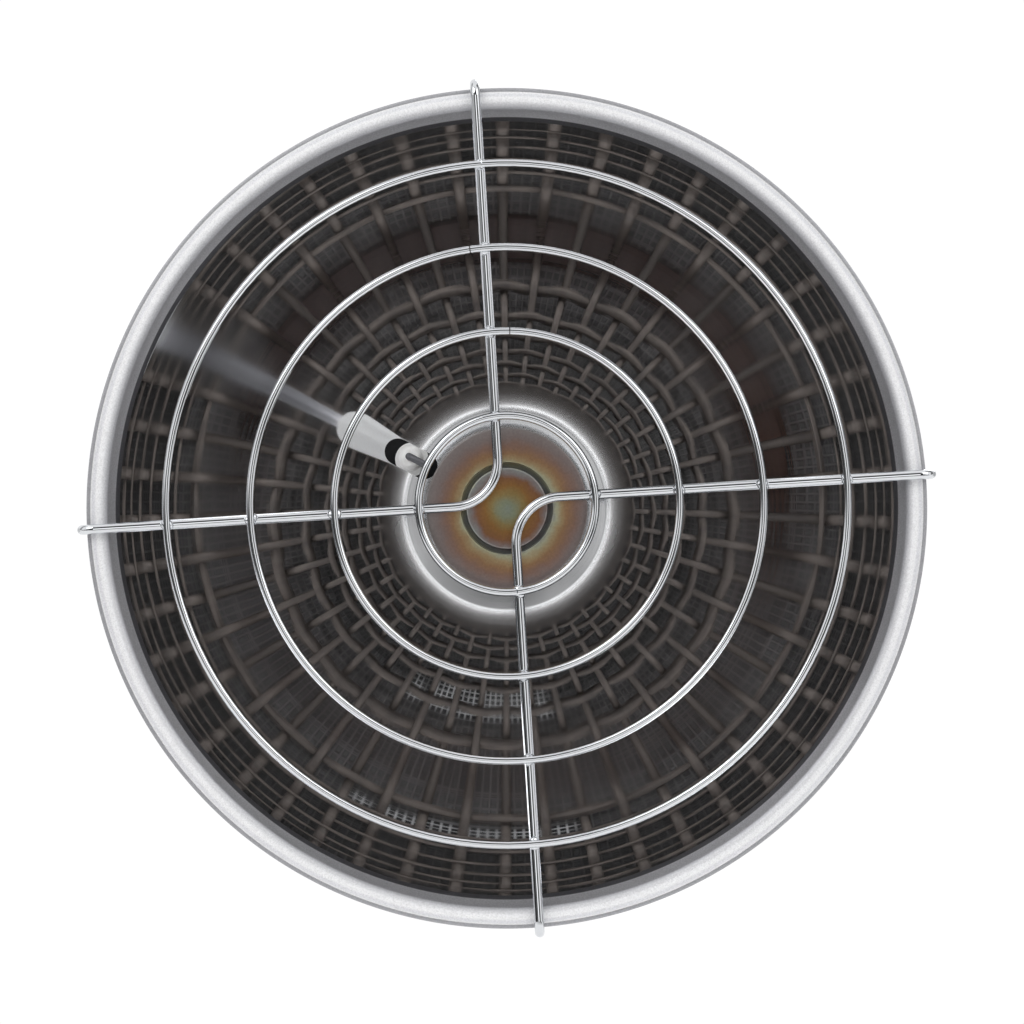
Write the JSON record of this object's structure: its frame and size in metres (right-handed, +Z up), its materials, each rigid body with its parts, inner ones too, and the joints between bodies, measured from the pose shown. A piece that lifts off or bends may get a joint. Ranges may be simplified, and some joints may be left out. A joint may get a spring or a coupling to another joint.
{
  "type": "parabolic gas heater",
  "caption": "Parabolic radiant heater head: a mirror dish with a woven burner on its axis, a wire guard, and a tilting valve head on a cylinder-top regulator.",
  "frame": {"origin": "centre of the mouth of the threaded cylinder inlet, at the foot of the regulator", "axes": "+Z up along the cylinder's axis, the dish faces -Y, +X to the right seen from the front; the tilt axis is along X"},
  "size_m": [0.2359, 0.1478, 0.2358],
  "materials": {
    "mirror_aluminium": "bright polished bowl, satin rolled rim",
    "chromed_wire": "bright nickel-chrome plated steel wire",
    "tinted_steel": "stainless steel, straw and brown heat tint",
    "screen_wire": "oxidised heat-resisting alloy wire",
    "dark_screen": "fine oxidised gauze",
    "burner_steel": "pressed stainless steel, dull",
    "zinc_steel": "bright zinc plate",
    "bracket_steel": "zinc-plated pressed steel",
    "ceramic": "white steatite, unglazed",
    "electrode_steel": "drawn heat-resisting wire",
    "silicone_red": "silicone rubber insulation",
    "black_rubber": "moulded nitrile rubber",
    "black_plastic": "moulded, fine texture",
    "red_plastic": "moulded, gloss",
    "brass": "machined",
    "forged_brass": "forged and tumbled, machined faces",
    "die_cast": "die-cast zinc, clear passivated",
    "fibre": "vulcanised fibre"
  },
  "bodies": {
    "regulator": {"swivel_eye": "forged_brass", "regulator_body": "die_cast", "regulator_cover": "die_cast", "cover_screws": "zinc_steel", "diaphragm": "black_rubber", "diaphragm_plate": "zinc_steel", "regulator_spring": "zinc_steel", "inlet_seal": "black_rubber", "inlet_pin": "brass"},
    "head": {"reflector": "mirror_aluminium", "guard_spoke_upper": "chromed_wire", "guard_spoke_lower": "chromed_wire", "guard_ring_1": "chromed_wire", "guard_ring_2": "chromed_wire", "guard_ring_3": "chromed_wire", "guard_ring_4": "chromed_wire", "burner_cap": "tinted_steel", "radiant_screen": "screen_wire", "flame_screen": "dark_screen", "diffuser_tube": "burner_steel", "burner_base": "burner_steel", "mixing_tube": "zinc_steel", "base_screws": "zinc_steel", "rear_bracket": "bracket_steel", "bracket_screws": "zinc_steel", "electrode_insulator": "ceramic", "electrode_wire": "electrode_steel", "electrode_bracket": "bracket_steel", "electrode_clip": "zinc_steel", "electrode_screw": "zinc_steel", "ignition_lead": "silicone_red", "lead_boots": "black_rubber", "igniter_body": "black_plastic", "igniter_nut": "black_plastic", "valve_block": "forged_brass", "jet": "brass", "gland_nut": "brass", "valve_spring": "zinc_steel", "pivot_bolt": "zinc_steel", "pivot_nut": "zinc_steel", "pivot_seals": "black_rubber", "friction_washers": "fibre"},
    "tap": {"valve_plug": "brass", "knob": "black_plastic", "knob_screw": "zinc_steel"},
    "button": {"igniter_button": "red_plastic"}
  },
  "joints": [
    {"name": "head_tilt", "type": "hinge", "parent": "regulator", "child": "head", "pos_m": [0, 0, 0.09], "axis": [1, 0, 0], "range_deg": [-60, 15]},
    {"name": "knob_turn", "type": "hinge", "parent": "head", "child": "tap", "pos_m": [0, -0.027, 0.09], "axis": [1, 0, 0], "range_deg": [0, 180]},
    {"name": "igniter_press", "type": "slide", "parent": "head", "child": "button", "axis": [0, -1, 0], "range_m": [0, 0.006], "stiffness_N_per_m": 900, "springref_m": -0.004}
  ]
}
